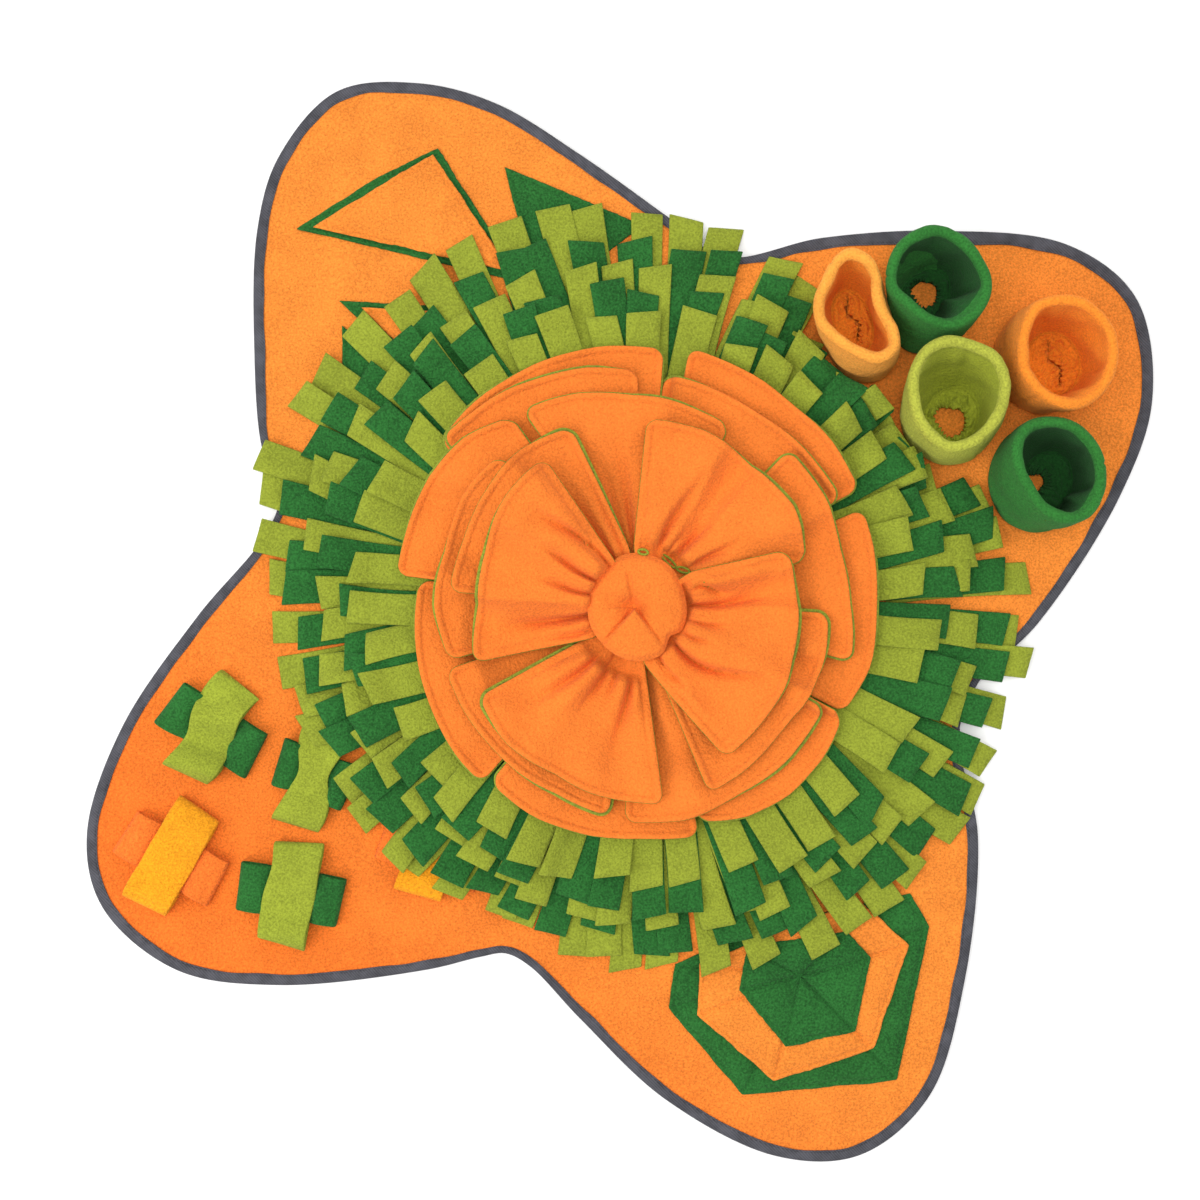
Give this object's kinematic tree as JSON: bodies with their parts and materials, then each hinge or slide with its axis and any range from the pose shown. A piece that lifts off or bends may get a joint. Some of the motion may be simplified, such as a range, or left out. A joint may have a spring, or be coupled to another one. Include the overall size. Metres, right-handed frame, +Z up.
{
  "type": "snuffle mat",
  "caption": "Four-lobed fleece snuffle mat for pets: layered flower on a strip fringe, soft cups, flaps, a web patch and crossed loops.",
  "frame": {"origin": "middle of the mat's outline, on the surface it lies on", "axes": "+Z up out of the mat; +X to the right and +Y to the top of the picture, which looks straight down"},
  "size_m": [0.9047, 0.9152, 0.0753],
  "materials": {
    "mat_fleece": "soft brushed fleece, matt, fine pile",
    "petal_fleece": "soft brushed fleece sewn to lime fleece, matt",
    "peach_fleece": "soft brushed fleece, matt",
    "amber_fleece": "soft brushed fleece, matt",
    "lime_fleece": "soft brushed fleece, matt, heathered",
    "green_fleece": "soft brushed fleece, matt",
    "binding_tape": "woven polyester binding tape with a faint sheen"
  },
  "bodies": {
    "root": {"mat": "mat_fleece", "edge_binding": "binding_tape", "fringe_1_lime": "lime_fleece", "fringe_2_green": "green_fleece", "fringe_3_lime": "lime_fleece", "fringe_4_green": "green_fleece", "fringe_5_lime": "lime_fleece", "centre_bud": "petal_fleece", "cup_1": "peach_fleece", "cup_2": "green_fleece", "cup_3": "mat_fleece", "cup_4": "lime_fleece", "cup_5": "green_fleece", "flap_1_green": "green_fleece", "flap_1_orange": "mat_fleece", "flap_2_green": "green_fleece", "flap_3_green": "green_fleece", "flap_3_orange": "mat_fleece", "flap_4_green": "green_fleece", "web_1_green": "green_fleece", "web_2_orange": "mat_fleece", "web_3_green": "green_fleece", "loop_a_upper": "lime_fleece", "loop_a_lower": "green_fleece", "loop_b_upper": "lime_fleece", "loop_b_lower": "green_fleece", "loop_c_upper": "amber_fleece", "loop_c_lower": "mat_fleece", "loop_d_upper": "lime_fleece", "loop_d_lower": "green_fleece", "loop_e_upper": "amber_fleece", "loop_e_lower": "mat_fleece", "petal_01": "petal_fleece", "petal_02": "petal_fleece", "petal_03": "petal_fleece", "petal_04": "petal_fleece", "petal_05": "petal_fleece", "petal_06": "petal_fleece", "petal_07": "petal_fleece", "petal_08": "petal_fleece", "petal_09": "petal_fleece", "petal_10": "petal_fleece", "petal_11": "petal_fleece", "petal_12": "petal_fleece", "petal_13": "petal_fleece", "petal_14": "petal_fleece", "petal_15": "petal_fleece", "petal_16": "petal_fleece", "petal_17": "petal_fleece", "petal_18": "petal_fleece", "petal_19": "petal_fleece", "petal_20": "petal_fleece"}
  },
  "joints": []
}
